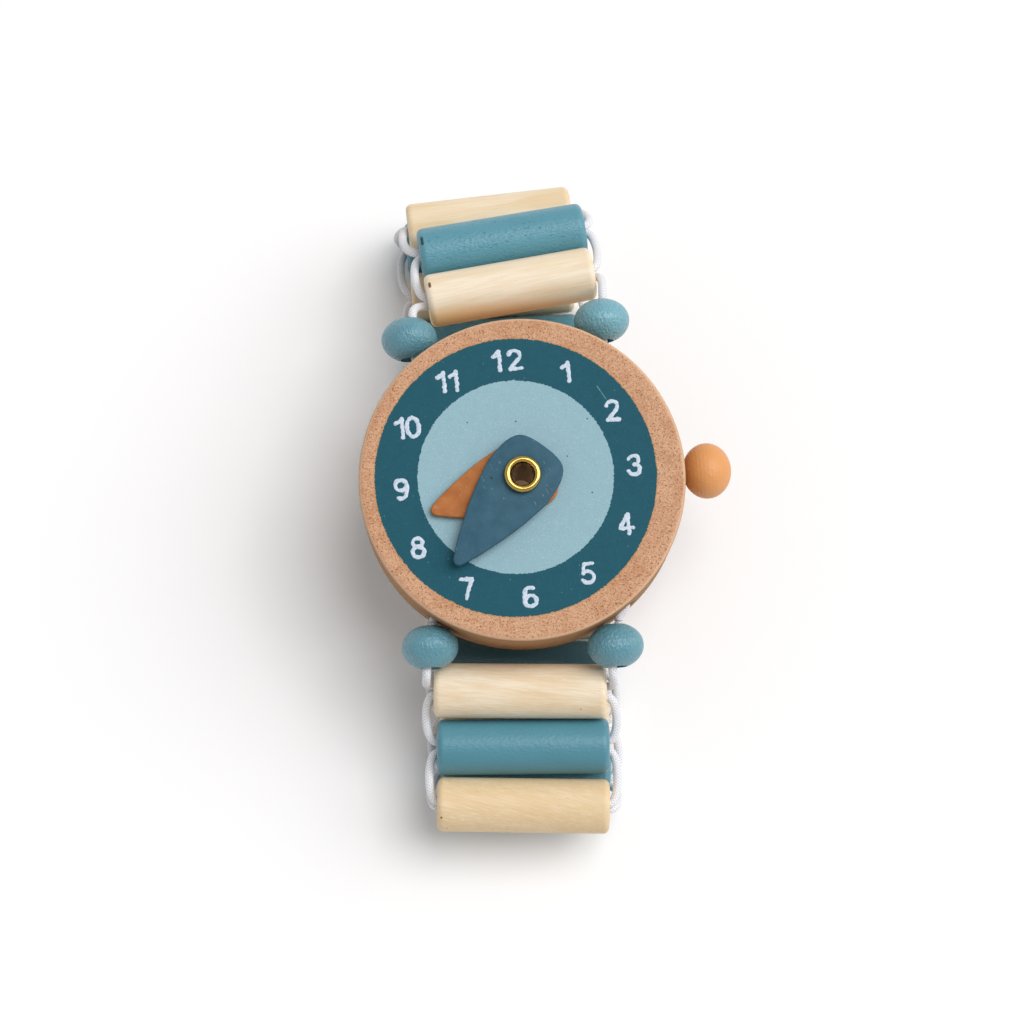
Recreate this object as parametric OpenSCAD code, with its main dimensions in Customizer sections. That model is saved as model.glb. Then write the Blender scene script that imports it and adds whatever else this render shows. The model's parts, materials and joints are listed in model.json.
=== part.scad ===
// Toy watch: a round wooden case with two turning hands and a crown ball,
// on a band of wooden beads that are laced side by side on a doubled elastic.
// The band lies pressed flat: three beads at each end run down to the row on the table.
// The middle of the case's back face is the origin, and the crown points along +X.

/* [Case] */
// Diameter of the wooden case
case_d = 46.9; // [42:0.1:52]
// Thickness of the wooden case
case_t = 12.25; // [10:0.25:13]
// Radius of the case's rounded edges
case_edge_r = 0.7; // [0.3:0.1:1.2]
// Distance between the two bores that hold the elastic
lace_spacing = 27.2; // [24:0.2:29]
// Diameter of the bores that hold the elastic
lace_bore_d = 2.6; // [2:0.1:3]

/* [Eyelet] */
// Bore of the eyelet that the hands turn on
eyelet_bore_d = 3.3; // [2.8:0.1:3.6]
// Wall of the eyelet's barrel
eyelet_wall = 0.35; // [0.25:0.05:0.45]
// Diameter over the eyelet's rolled rim
eyelet_rim_d = 5.3; // [5:0.1:6.5]

/* [Hands] */
// Thickness of each hand
hand_t = 1; // [0.7:0.1:1.5]
// Length of the minute hand from the eyelet's axis to its tip
minute_len = 16; // [13:0.5:18]
// Length of the hour hand from the eyelet's axis to its tip
hour_len = 14; // [11:0.5:16]
// Width of both hands across the eyelet
hand_w = 10.4; // [8:0.2:11]
// Direction in which the minute hand points, turned from the crown
minute_angle = 229; // [0:1:359]
// Direction in which the hour hand points, turned from the crown
hour_angle = 197; // [0:1:359]

/* [Crown] */
// Diameter of the crown ball
crown_d = 8.1; // [7:0.1:9]
// Length of the crown ball along its peg
crown_len = 7.1; // [6:0.1:8]
// Diameter of the peg that carries the crown ball
peg_d = 2.6; // [2:0.1:3]
// Depth of the peg in the case
peg_depth = 5; // [4:0.25:7]

/* [Balls] */
// Diameter of the four balls beside the case
ball_d = 8.2; // [7.6:0.1:8.8]
// Length of a ball's oval outline along its hole
ball_len = 6.6; // [6.4:0.1:7.4]
// Hole through a ball
ball_bore_d = 3; // [2.6:0.1:3.2]

/* [Beads] */
// Length of every bead
bead_len = 25; // [23:0.5:27]
// Diameter of the natural beads
natural_d = 7.9; // [7.5:0.1:8.3]
// Diameter of the blue beads
blue_d = 8.1; // [7.7:0.1:8.5]
// Hole through a bead
bead_bore_d = 3.2; // [3:0.1:3.6]
// Radius of a bead's rounded edges
bead_edge_r = 0.9; // [0.4:0.1:1.2]
// Chamfer at the mouths of a bead's hole
bead_chamfer = 0.4; // [0.2:0.05:0.5]
// Play between neighbouring beads where they come closest
bead_gap = 0.2; // [0.15:0.05:0.4]

/* [Elastic] */
// Thickness of the elastic
elastic_d = 1.3; // [1.1:0.1:1.4]
// How far the middle of a side loop stands out from the beads' ends
loop_bulge = 1.2; // [1.1:0.1:1.7]

/* [Hidden] */

// Fineness of the round solids
$fn = 64;
// Segments in a quarter turn of an outline
arc_steps = 5;
// Sides of the elastic's tube
tube_sides = 6;
// How far a cut runs past the solid it goes through
overrun = 1;

// Play of a piece that is pressed or glued into its hole
seat_gap = 0.03;
// Play of a hand's hole on the eyelet's barrel
hand_play = 0.06;
// Space between the case, the two hands and the eyelet's rim
hand_gap = 0.15;
// Space between a ball and the case's rim
rim_gap = 0.15;
// Space between a ball and the first bead
ball_gap = 0.08;
// Part of the overlap of strand and bead by which the ball keeps off
keep_off_share = 0.75;
// Space between the elastic and the hole it runs in
elastic_play = 0.15;
// Space between two lengths of elastic that meet end to end
end_gap = 0.05;

// How far each ball's middle lies from the case's middle, as shares of the bores' distance
ball_top_shares = [-0.542, 0.5];
ball_bottom_shares = [-0.552, 0.426];

// Turn of every bead about the vertical, from the first bead at the top to the last at the bottom
bead_turns = [
    6, 5.4, 2.5, 1.5, 0.2, -1, -2.2, -3.3, -4.3, -5.3, -6.2, -7, -7.6, -8.3, -5.3, -3.9, -4.8
];
// Sideways shift of every bead, as shares of its length
bead_shift_shares = [
    0.03, 0.006, -0.054, -0.076, -0.063, -0.053, -0.047, -0.044, -0.044,
    -0.048, -0.055, -0.065, -0.079, -0.096, -0.13, -0.105, -0.1
];
// Slope of the links that run down from the case to the back row, before the loop is closed
top_slopes = [18, 48, 92];
bottom_slopes = [24, 9, 126];
// Shares in which those links swing to close the loop
swing_shares = [0.5, 1, 1];
// How far below a ball's own line the first and the last bead lean on it
top_lean = 26;
bottom_lean = 36;

// Outline of a hand: place along its length and half its width, as shares of each
hand_outline_shares = [
    [-0.325, 0], [-0.322, 0.3], [-0.3, 0.62], [-0.25, 0.82], [-0.16, 0.94], [-0.05, 0.99],
    [0.08, 1], [0.2, 0.93], [0.34, 0.84], [0.48, 0.72], [0.6, 0.6], [0.72, 0.47],
    [0.83, 0.34], [0.91, 0.23], [0.96, 0.16], [0.99, 0.09], [1, 0]
];

wood = "burlywood";
natural = "wheat";
blue = "cadetblue";
orange = "sandybrown";
slate = "steelblue";
brass = "gold";
white = "white";

// Sums and vector helpers
function total(list, i = 0) = i == len(list) ? 0 : list[i] + total(list, i + 1);
function unit(v) = v / norm(v);
function clamp(v, low, high) = max(low, min(high, v));
function square_off(v, axis) = unit(v - axis * (v * axis));

// Radii and levels that follow from the sizes above
case_r = case_d / 2;
case_mid = case_t / 2;
eyelet_r = eyelet_bore_d / 2 + eyelet_wall;
rim_roll_r = (eyelet_rim_d - eyelet_bore_d) / 4;
rim_roll_at = eyelet_rim_d / 2 - rim_roll_r;
hour_z = case_t + hand_gap;
minute_z = hour_z + hand_t + hand_gap;
rim_top_z = minute_z + hand_t + hand_gap + rim_roll_r;
rim_back_z = rim_roll_r;
lace_x = lace_spacing / 2;
lace_exit = sqrt(case_r * case_r - lace_x * lace_x);
elastic_r = elastic_d / 2;
lace_r = bead_bore_d / 2 - elastic_play - elastic_r;
ball_slack = ball_bore_d / 2 - elastic_play - elastic_r;
last_bead = len(bead_turns) - 1;

// Half length of a ball between the mouths of its hole, which cuts off the oval's ends
ball_half = ball_len / 2 * sqrt(1 - pow(ball_bore_d / ball_d, 2));

// A ball leans against the case's rim: x is its place across the case
function ball_aim(x) = asin(abs(x) / (case_r + ball_d / 2));
function ball_reach(x) = norm([ball_d / 2 * sin(ball_aim(x)), ball_len / 2 * cos(ball_aim(x))]);
function ball_y(x) = sqrt(pow(case_r + rim_gap + ball_reach(x), 2) - x * x);
function ball_x(end, side) =
    (end > 0 ? ball_top_shares : ball_bottom_shares)[side > 0 ? 1 : 0] * lace_spacing;

// The first and last bead lean on the ball that keeps them farthest from the case
function bead_turn(i) = bead_turns[i];
function bead_shift(i) = bead_shift_shares[i] * bead_len;
function bead_dir(i) = [cos(bead_turn(i)), sin(bead_turn(i)), 0];
function bead_half() = bead_len / 2 - bead_edge_r;
function end_bead(end) = end > 0 ? 0 : last_bead;
function end_clamp(x, i) =
    clamp(x, bead_shift(i) - bead_half(), bead_shift(i) + bead_half());
function lean(end) = end > 0 ? top_lean : bottom_lean;
function lean_on(end) =
    let (a = ball_len / 2 * cos(lean(end)), b = ball_d / 2 * sin(lean(end)))
    [ball_len / 2 * a, ball_d / 2 * b] / norm([a, b])
    + (lean_gap(end) + natural_d / 2) * [cos(lean(end)), sin(lean(end))];
function arm_at(end, side, i) =
    ball_y(ball_x(end, side)) + lean_on(end)[0] / cos(bead_turn(i))
    - end * tan(bead_turn(i)) * (end_clamp(ball_x(end, side), i) - bead_shift(i));
function arm(end) = max([for (side = [-1, 1]) arm_at(end, side, end_bead(end))]);
function first_bead(end) = [0, end * arm(end), -lean_on(end)[1]];

// Where an end strand would run into the bead's end, the ball keeps off by a part of the overlap
function strand_x(end, side) = clamp(
    bead_shift(end_bead(end)) + side * (bead_len / 2 + elastic_r + elastic_play),
    ball_x(end, side) - ball_slack, ball_x(end, side) + ball_slack
);
function strand_overlap(end, side) = clamp(
    elastic_r + elastic_play + bead_len / 2
    - side * (strand_x(end, side) - bead_shift(end_bead(end))),
    0, elastic_r + elastic_play + bead_edge_r
);
function lean_gap(end) =
    ball_gap + keep_off_share * max([for (side = [-1, 1]) strand_overlap(end, side)]);

// Links at each end and along the straight back row between them
end_links = len(top_slopes);
back_links = last_bead - 2 * end_links;

// Neighbouring beads keep off each other where their turns bring their ends together
function pitch(i) =
    (natural_d + blue_d) / 2 + bead_gap
    + bead_half() * abs(sin(bead_turn(i + 1) - bead_turn(i)));
function end_link(end, k) = end > 0 ? k : last_bead - 1 - k;
function slope(end, k, swing) =
    (end > 0 ? top_slopes : bottom_slopes)[k] + swing * swing_shares[k];
function run(end, n, swing) =
    total([for (k = [0 : 1 : n - 1]) pitch(end_link(end, k)) * cos(slope(end, k, swing))]);
function drop(end, n, swing) =
    total([for (k = [0 : 1 : n - 1]) pitch(end_link(end, k)) * sin(slope(end, k, swing))]);
function back_run(n) = total([for (k = [0 : 1 : n - 1]) pitch(end_links + k)]);

// Closing the loop: the links at each end swing until the back row is just long enough
case_span = first_bead(1) - first_bead(-1);
function tilt_at(swing) =
    asin((drop(1, end_links, swing) - drop(-1, end_links, swing)) / norm(case_span))
    - atan2(case_span[2], case_span[1]);
function opening(swing) =
    case_span[1] * cos(tilt_at(swing)) - case_span[2] * sin(tilt_at(swing))
    + run(1, end_links, swing) + run(-1, end_links, swing) - back_run(back_links);
function closing_swing(low, high, n = 40) =
    n == 0 ? (low + high) / 2
    : opening((low + high) / 2) > 0 ? closing_swing((low + high) / 2, high, n - 1)
    : closing_swing(low, (low + high) / 2, n - 1);
swing = closing_swing(-60, 50);

// Tilt of the case: the end with the higher band stands higher
tilt = tilt_at(swing);
function from_case(p) =
    [p[0], p[1] * cos(tilt) - p[2] * sin(tilt), p[1] * sin(tilt) + p[2] * cos(tilt)];

// Middles of the beads in the plane across them, counted from the top end
function end_row(end, n) =
    let (first = from_case(first_bead(end) + [0, 0, case_mid]))
    [first[1] + end * run(end, n, swing), first[2] - drop(end, n, swing)];
bead_row = concat(
    [for (n = [0 : end_links]) end_row(1, n)],
    [for (n = [1 : back_links - 1])
        end_row(1, end_links) + (end_row(-1, end_links) - end_row(1, end_links))
        * back_run(n) / back_run(back_links)],
    [for (n = [end_links : -1 : 0]) end_row(-1, n)]
);
function bead_at(i) = [bead_shift(i), bead_row[i][0], bead_row[i][1]];

// Middle of a ball in the row frame
function ball_at(end, side) =
    from_case([ball_x(end, side), end * ball_y(ball_x(end, side)), case_mid]);
function ball_pair(end) = (ball_at(end, -1) + ball_at(end, 1)) / 2;

// Direction of the band at a bead, square to the bead's hole
function before(i) = i == 0 ? ball_pair(1) : bead_at(i - 1);
function after(i) = i == last_bead ? ball_pair(-1) : bead_at(i + 1);
function across(v) = [0, v[1], v[2]];
function band_dir(i) = square_off(
    unit(across(after(i) - bead_at(i))) + unit(across(bead_at(i) - before(i))), bead_dir(i)
);

// Place of the elastic in a bead. The two strands swap sides in a quarter turn each:
// share 0 is at the mouth on that side, share 1 in the middle; way 1 goes on to the next bead
function strand_at(i, side, way, share) =
    bead_at(i) + bead_dir(i) * side * (bead_len / 2 - bead_chamfer) * (1 - share)
    + bead_dir(i) * side * end_gap * share
    + lace_r * way * (band_dir(i) * cos(90 * share)
    + cross(bead_dir(i), band_dir(i)) * side * sin(90 * share));

// Smooth curve between two ends, drawn towards two other points
function bend(a, b, c, d, t) =
    a * pow(1 - t, 3) + b * 3 * t * pow(1 - t, 2) + c * 3 * t * t * (1 - t) + d * pow(t, 3);

// Side loop from bead i to bead i + 1: both its ends run out to one level before they turn
function loop_arch(i, side, share) =
    let (
        a = mouth_at(i, side, 1), b = mouth_at(i + 1, side, -1),
        out = unit(bead_dir(i) + bead_dir(i + 1)) * side,
        level = max(a * out, b * out) + loop_bulge * bend_reach
    )
    bend(a, a + out * (level - a * out), b + out * (level - b * out), b, share);
// A bend reaches three quarters of the way to the points it is drawn towards
bend_reach = 4 / 3;
function mouth_at(i, side, way) =
    bead_at(i) + bead_dir(i) * side * bead_len / 2 + lace_r * way * band_dir(i);
inner_shares = [1, 0.67, 0.33, 0];
arch_shares = [0.15, 0.33, 0.5, 0.67, 0.85];
function loop_path(i, side) = concat(
    [for (s = inner_shares) strand_at(i, side, 1, s)],
    [for (s = arch_shares) loop_arch(i, side, s)],
    [for (n = [3 : -1 : 0]) strand_at(i + 1, side, -1, inner_shares[n])]
);

// End strand: through the ball, round the bead's end and into the first or last bead
function bore_slack(end, side) =
    clamp(side * lace_x - ball_x(end, side), -ball_slack, ball_slack);
function ball_strand(end, side, share) =
    ball_at(end, side)
    + from_case([
        (bore_slack(end, side) * (1 - share)
            + (strand_x(end, side) - ball_x(end, side)) * (1 + share)) / 2,
        end * ball_half * share, 0
    ]);
function end_bend(end, side, t) =
    let (
        a = ball_strand(end, side, 1),
        d = mouth_at(end_bead(end), side, -end),
        out = bead_dir(end_bead(end)) * side,
        aside = strand_overlap(end, side),
        reach = norm(d - a) * bend_share
    )
    bend(
        a, a + from_case([0, end, 0]) * max(reach - aside, elastic_d) + out * aside,
        d + out * (loop_bulge + aside) * bend_reach, d, t
    );
bend_share = 0.4;
ball_shares = [-1, 0, 1];
bend_shares = [0.2, 0.4, 0.6, 0.8];
function end_path(end, side) = concat(
    [for (s = ball_shares) ball_strand(end, side, s)],
    [for (t = bend_shares) end_bend(end, side, t)],
    [for (n = [3 : -1 : 0]) strand_at(end_bead(end), side, -end, inner_shares[n])]
);

// Tube of the elastic's thickness along a path, with its two end faces square to given lines
function tube_dir(path, j, first, last) =
    j == 0 ? first : j == len(path) - 1 ? last : unit(path[j + 1] - path[j - 1]);
function tube_ring(centre, dir, flat) =
    let (u = unit(cross(dir, flat)), v = cross(dir, u))
    [for (k = [0 : tube_sides - 1])
        centre + elastic_r * (u * cos(360 * k / tube_sides) + v * sin(360 * k / tube_sides))];
module tube(path, first, last, flat) {
    rings = [for (j = [0 : len(path) - 1])
        each tube_ring(path[j], tube_dir(path, j, first, last), flat)];
    n = tube_sides;
    sides = [for (j = [0 : len(path) - 2], k = [0 : n - 1])
        let (a = j * n + k, b = j * n + (k + 1) % n)
        each [[a, a + n, b], [b, a + n, b + n]]];
    caps = concat(
        [for (k = [1 : n - 2]) [0, k, k + 1]],
        [for (k = [1 : n - 2]) [len(rings) - n, len(rings) - n + k + 1, len(rings) - n + k]]
    );
    polyhedron(points = rings, faces = concat(sides, caps), convexity = 6);
}

// Quarter circle of an outline, from one angle to another
function arc(x, y, r, from, to) =
    [for (k = [0 : arc_steps]) [x, y] + r * [
        cos(from + (to - from) * k / arc_steps), sin(from + (to - from) * k / arc_steps)
    ]];

module in_case() {
    rotate([tilt, 0, 0]) children();
}

// Half of a rounded slab's outline, turned about the case's axis
module disc_outline(r, t, edge) {
    polygon(concat(
        [[0, 0]],
        arc(r - edge, edge, edge, -90, 0),
        arc(r - edge, t - edge, edge, 0, 90),
        [[0, t]]
    ));
}

// Wooden disc with two bores for the elastic, the eyelet's seat and the crown's peg hole
module case_disc() {
    color(wood) in_case() difference() {
        rotate_extrude($fn = 128) disc_outline(case_r, case_t, case_edge_r);
        for (side = [-1, 1])
            translate([side * lace_x, 0, case_mid])
                rotate([90, 0, 0])
                cylinder(d = lace_bore_d, h = case_d + overrun, center = true);
        translate([0, 0, -overrun])
            cylinder(r = eyelet_r + seat_gap, h = case_t + 2 * overrun);
        translate([0, 0, -overrun])
            cylinder(d = eyelet_rim_d + 2 * hand_gap, h = rim_back_z + rim_roll_r + overrun);
        translate([case_r - peg_depth, 0, case_mid])
            rotate([0, 90, 0])
            cylinder(d = peg_d + 2 * seat_gap, h = peg_depth + overrun);
    }
}

// Brass eyelet with a rolled rim in front and a clinched one sunk into the case's back
module eyelet() {
    color(brass) in_case() rotate_extrude() {
        translate([eyelet_bore_d / 2, rim_back_z])
            square([eyelet_wall, rim_top_z - rim_back_z]);
        for (z = [rim_back_z, rim_top_z])
            translate([rim_roll_at, z]) circle(r = rim_roll_r, $fn = 32);
    }
}

// Flat hand, broad round the eyelet and pointed at its tip
function curve_point(a, b, c, d, t) = (
    2 * b + (c - a) * t + (2 * a - 5 * b + 4 * c - d) * t * t
    + (3 * b - a - 3 * c + d) * t * t * t
) / 2;
function smooth_line(list) = [
    for (i = [0 : len(list) - 2], t = [0, 0.5])
        curve_point(
            list[max(i - 1, 0)], list[i], list[i + 1], list[min(i + 2, len(list) - 1)], t
        ),
    list[len(list) - 1]
];
hand_edge = smooth_line(hand_outline_shares);

module hand(length) {
    upper = [for (p = hand_edge) [p[0] * length, p[1] * hand_w / 2]];
    lower = [for (i = [len(upper) - 2 : -1 : 1]) [upper[i][0], -upper[i][1]]];
    difference() {
        linear_extrude(hand_t) polygon(concat(upper, lower));
        translate([0, 0, -overrun])
            cylinder(r = eyelet_r + hand_play, h = hand_t + 2 * overrun);
    }
}

module hour_hand() {
    color(orange) in_case() translate([0, 0, hour_z]) rotate([0, 0, hour_angle]) hand(hour_len);
}

module minute_hand() {
    color(slate) in_case()
        translate([0, 0, minute_z]) rotate([0, 0, minute_angle]) hand(minute_len);
}

// Half of an oval outline, turned about its length
module oval_outline(d, length) {
    steps = 4 * arc_steps;
    polygon([for (k = [0 : steps])
        [d / 2 * sin(180 * k / steps), -length / 2 * cos(180 * k / steps)]]);
}

// Crown ball, closed at its outer end, on a peg that is glued into the case
crown_x = case_r + crown_len / 2;
peg_in_crown = crown_len / 2;

module crown_ball() {
    color(orange) in_case() translate([crown_x, 0, case_mid]) rotate([0, 90, 0])
        difference() {
            rotate_extrude() oval_outline(crown_d, crown_len);
            translate([0, 0, -crown_len / 2 - overrun])
                cylinder(d = peg_d + 2 * seat_gap, h = peg_in_crown + overrun + end_gap);
        }
}

module crown_peg() {
    color(natural) in_case()
        translate([case_r - peg_depth + end_gap, 0, case_mid])
        rotate([0, 90, 0])
        cylinder(d = peg_d, h = peg_depth + peg_in_crown - end_gap);
}

// Ball beside the case, threaded on the elastic
module ball(end, side) {
    color(blue) translate(ball_at(end, side)) in_case() rotate([90, 0, 0])
        difference() {
            rotate_extrude() oval_outline(ball_d, ball_len);
            cylinder(d = ball_bore_d, h = ball_len + overrun, center = true);
        }
}

// Cylinder bead with rounded edges and a chamfered hole along it
module bead(i) {
    natural_one = i % 2 == 0;
    r = (natural_one ? natural_d : blue_d) / 2;
    bore = bead_bore_d / 2;
    half = bead_len / 2;
    color(natural_one ? natural : blue)
        translate(bead_at(i)) rotate([0, 0, bead_turn(i)]) rotate([0, 90, 0])
        rotate_extrude() polygon(concat(
            [[bore, -half + bead_chamfer], [bore + bead_chamfer, -half]],
            arc(r - bead_edge_r, -half + bead_edge_r, bead_edge_r, -90, 0),
            arc(r - bead_edge_r, half - bead_edge_r, bead_edge_r, 0, 90),
            [[bore + bead_chamfer, half], [bore, half - bead_chamfer]]
        ));
}

// Elastic in the case: one straight strand in each bore
module elastic_case() {
    color(white) in_case() for (side = [-1, 1])
        translate([side * lace_x, 0, case_mid]) rotate([90, 0, 0])
            cylinder(d = elastic_d, h = 2 * lace_exit - 2 * lace_bore_d, center = true);
}

// The two strands between the case and the first or last bead
module elastic_end(end) {
    color(white) for (side = [-1, 1])
        tube(
            end_path(end, side), from_case([0, end, 0]), -side * bead_dir(end_bead(end)),
            side * from_case([0, 0, end])
        );
}

// Side loops at a link, counted from 1 at the top: they tie bead i to bead i + 1
module elastic_loop(link) {
    i = link - 1;
    color(white) for (side = [-1, 1])
        tube(
            loop_path(i, side), side * bead_dir(i), -side * bead_dir(i + 1),
            side * cross(unit(bead_dir(i) + bead_dir(i + 1)), unit(bead_at(i + 1) - bead_at(i)))
        );
}

echo(tilt = tilt, arm_top = arm(1), arm_bottom = arm(-1), swing = swing);
echo(opening = opening(swing), row = bead_row);
echo(balls = [for (end = [1, -1], side = [-1, 1]) ball_at(end, side)]);

case_disc();
eyelet();
hour_hand();
minute_hand();
crown_ball();
crown_peg();
ball(1, -1);  // ball_top_left
ball(1, 1);  // ball_top_right
ball(-1, -1);  // ball_bottom_left
ball(-1, 1);  // ball_bottom_right
bead(0);  // bead_top_1
bead(1);  // bead_top_2
bead(2);  // bead_top_3
bead(3);  // bead_back_1
bead(4);  // bead_back_2
bead(5);  // bead_back_3
bead(6);  // bead_back_4
bead(7);  // bead_back_5
bead(8);  // bead_back_6
bead(9);  // bead_back_7
bead(10);  // bead_back_8
bead(11);  // bead_back_9
bead(12);  // bead_back_10
bead(13);  // bead_back_11
bead(last_bead - 2);  // bead_bottom_3
bead(last_bead - 1);  // bead_bottom_2
bead(last_bead);  // bead_bottom_1
elastic_case();
elastic_end(1);  // elastic_top_end
elastic_end(-1);  // elastic_bottom_end
elastic_loop(1);  // elastic_loop_1
elastic_loop(2);  // elastic_loop_2
elastic_loop(3);  // elastic_loop_3
elastic_loop(4);  // elastic_loop_4
elastic_loop(5);  // elastic_loop_5
elastic_loop(6);  // elastic_loop_6
elastic_loop(7);  // elastic_loop_7
elastic_loop(8);  // elastic_loop_8
elastic_loop(9);  // elastic_loop_9
elastic_loop(10);  // elastic_loop_10
elastic_loop(11);  // elastic_loop_11
elastic_loop(12);  // elastic_loop_12
elastic_loop(13);  // elastic_loop_13
elastic_loop(14);  // elastic_loop_14
elastic_loop(15);  // elastic_loop_15
elastic_loop(16);  // elastic_loop_16
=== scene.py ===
# %% [markdown]
# # A wooden toy watch, dressed for its picture
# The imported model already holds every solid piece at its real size. This lesson gives them
# their finishes, winds the braided elastic through the beads, prints the dial's numbers and
# sets the light and the camera. Each step says what the piece is on the real watch first.

# %% Load the frame
import json
import math

import bmesh
import bpy
import numpy as np
from mathutils import Matrix, Vector


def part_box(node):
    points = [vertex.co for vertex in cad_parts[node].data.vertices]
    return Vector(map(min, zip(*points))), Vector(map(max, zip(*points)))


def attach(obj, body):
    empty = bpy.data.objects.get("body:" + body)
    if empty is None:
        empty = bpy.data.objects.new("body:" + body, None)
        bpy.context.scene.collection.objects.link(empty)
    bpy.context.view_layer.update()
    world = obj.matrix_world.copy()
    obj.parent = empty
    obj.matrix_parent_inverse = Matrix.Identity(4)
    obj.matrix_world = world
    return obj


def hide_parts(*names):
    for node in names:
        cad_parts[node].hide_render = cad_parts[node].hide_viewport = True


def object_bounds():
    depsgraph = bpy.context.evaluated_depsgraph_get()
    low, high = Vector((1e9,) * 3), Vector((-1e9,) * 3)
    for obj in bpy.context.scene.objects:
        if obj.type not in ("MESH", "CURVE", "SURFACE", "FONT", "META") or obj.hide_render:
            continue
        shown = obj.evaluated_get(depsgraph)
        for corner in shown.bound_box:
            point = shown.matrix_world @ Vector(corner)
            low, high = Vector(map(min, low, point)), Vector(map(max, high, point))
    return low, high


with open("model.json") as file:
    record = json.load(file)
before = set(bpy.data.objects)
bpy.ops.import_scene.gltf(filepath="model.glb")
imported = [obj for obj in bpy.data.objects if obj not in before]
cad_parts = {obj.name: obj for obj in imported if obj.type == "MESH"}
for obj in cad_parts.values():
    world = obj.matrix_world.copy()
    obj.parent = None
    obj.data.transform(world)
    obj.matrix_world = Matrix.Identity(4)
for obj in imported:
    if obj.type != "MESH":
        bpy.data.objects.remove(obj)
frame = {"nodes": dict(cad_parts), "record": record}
cad_box = [[float(x) for x in corner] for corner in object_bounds()]
MM = 0.001
nodes = frame["nodes"]
body_of = {n: b for b, ns in frame["record"]["behaviour"]["bodies"].items() for n in ns}
print("nodes", len(nodes), "box in mm", np.round(np.array(cad_box) * 1000, 1).tolist())

# %% [markdown]
# ## Where things are
# The case leans a little, because the band lifts one end of it. The mount on its back gives
# that lean. A bead's middle is the middle of its box, and its long direction is the one in
# which its points spread most, which a singular value decomposition finds.

# %% Directions and middles
back = frame["record"]["mounts"][0]
case_up = -np.array(back["axis"], float)
case_along = np.array([0.0, case_up[2], -case_up[1]])
CASE_T = 12.25 * MM
case_mid = case_up * CASE_T / 2


def points_of(name):
    """The vertices of a CAD node as an array with one row per point."""
    mesh = nodes[name].data
    co = np.empty(len(mesh.vertices) * 3, np.float32)
    mesh.vertices.foreach_get("co", co)
    return co.reshape(-1, 3).astype(float)


def middle(name):
    """Middle of a node's box."""
    low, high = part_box(name)
    return (np.array(low) + np.array(high)) / 2


def long_way(name):
    """Direction in which a node's points spread most, turned to point along +X."""
    p = points_of(name)
    way = np.linalg.svd(p - p.mean(0), full_matrices=False)[2][0]
    return way * np.sign(way[0])


BEADS = ([f"bead_top_{k}" for k in (1, 2, 3)]
         + [f"bead_back_{k}" for k in range(1, 12)]
         + [f"bead_bottom_{k}" for k in (3, 2, 1)])
bead_mid = np.array([middle(n) for n in BEADS])
bead_way = np.array([long_way(n) for n in BEADS])
BEAD_LEN = 25.0 * MM
print("first bead at", (bead_mid[0] * 1000).round(2), "turned",
      round(math.degrees(math.atan2(bead_way[0][1], bead_way[0][0])), 2))

# %% [markdown]
# ## Camera
# The photograph looks down from above with a slight lean towards six o'clock. The camera
# stands about 0.4 m off with a long lens, so that the beads hardly taper. Its place is
# written as a distance, a lean, a turn and a roll round the middle of the case, and its
# zoom as the size that one pixel has at the case.

# %% Camera
CAM_OFF, CAM_LEAN, CAM_TURN, CAM_ROLL = 0.3932, 13.97, -6.53, 4.7
PIXEL = 0.1453 * MM
FRAME_PX = 1024
AIM_PX = (521.8, 484.9)
SENSOR_MM, NEAR = 36, 10 * MM


def unit(v):
    return v / np.linalg.norm(v)


lean, turn, roll = np.radians([CAM_LEAN, CAM_TURN, CAM_ROLL])
cam_back = np.array([math.sin(lean) * math.sin(turn), -math.sin(lean) * math.cos(turn),
                     math.cos(lean)])
cam_up = unit(np.array([0, 1, 0]) - cam_back * cam_back[1])
cam_right = np.cross(cam_up, cam_back)
rolled_right = math.cos(roll) * cam_right - math.sin(roll) * cam_up
rolled_up = math.sin(roll) * cam_right + math.cos(roll) * cam_up
camera_data = bpy.data.cameras.new("camera")
camera_data.sensor_width = SENSOR_MM
camera_data.lens = CAM_OFF / PIXEL / FRAME_PX * SENSOR_MM
camera_data.shift_x = (FRAME_PX / 2 - AIM_PX[0]) / FRAME_PX
camera_data.shift_y = (AIM_PX[1] - FRAME_PX / 2) / FRAME_PX
camera_data.clip_start = NEAR
camera = bpy.data.objects.new("camera", camera_data)
bpy.context.scene.collection.objects.link(camera)
camera.matrix_world = Matrix([
    [*row, place] for row, place in zip(
        np.stack([rolled_right, rolled_up, cam_back], 1), case_mid + cam_back * CAM_OFF)
] + [[0, 0, 0, 1]])
bpy.context.scene.camera = camera
print("lens", round(camera_data.lens, 1), "mm")

# %% [markdown]
# ## Shader arithmetic
# A pattern such as grain is a sum. A small class wraps a socket, so that a sum of patterns
# reads like a sum in Python, and one method adds any other node.

# %% A socket with operators


class Value:
    """A shader socket. Each operator adds one Math node and returns its result."""

    def __init__(self, shader, socket):
        self.shader, self.socket = shader, socket

    def math(self, operation, *values, clamp=False):
        return self.shader.add("ShaderNodeMath", {"operation": operation, "use_clamp": clamp},
                               dict(enumerate(values)))

    def __add__(self, other):
        return self.math("ADD", self, other)

    def __sub__(self, other):
        return self.math("SUBTRACT", self, other)

    def __rsub__(self, other):
        return self.math("SUBTRACT", other, self)

    def __mul__(self, other):
        return self.math("MULTIPLY", self, other)

    def __truediv__(self, other):
        return self.math("DIVIDE", self, other)

    __radd__, __rmul__ = __add__, __mul__

    def step(self, edge, soft):
        """0 below the edge and 1 above it, over a soft width."""
        return self.math("ADD", (self - edge) / soft, 0.5, clamp=True)

    def limited(self):
        """The value kept between 0 and 1."""
        return self.math("ADD", self, 0.0, clamp=True)

    def root(self):
        return self.math("SQRT", self)


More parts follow.
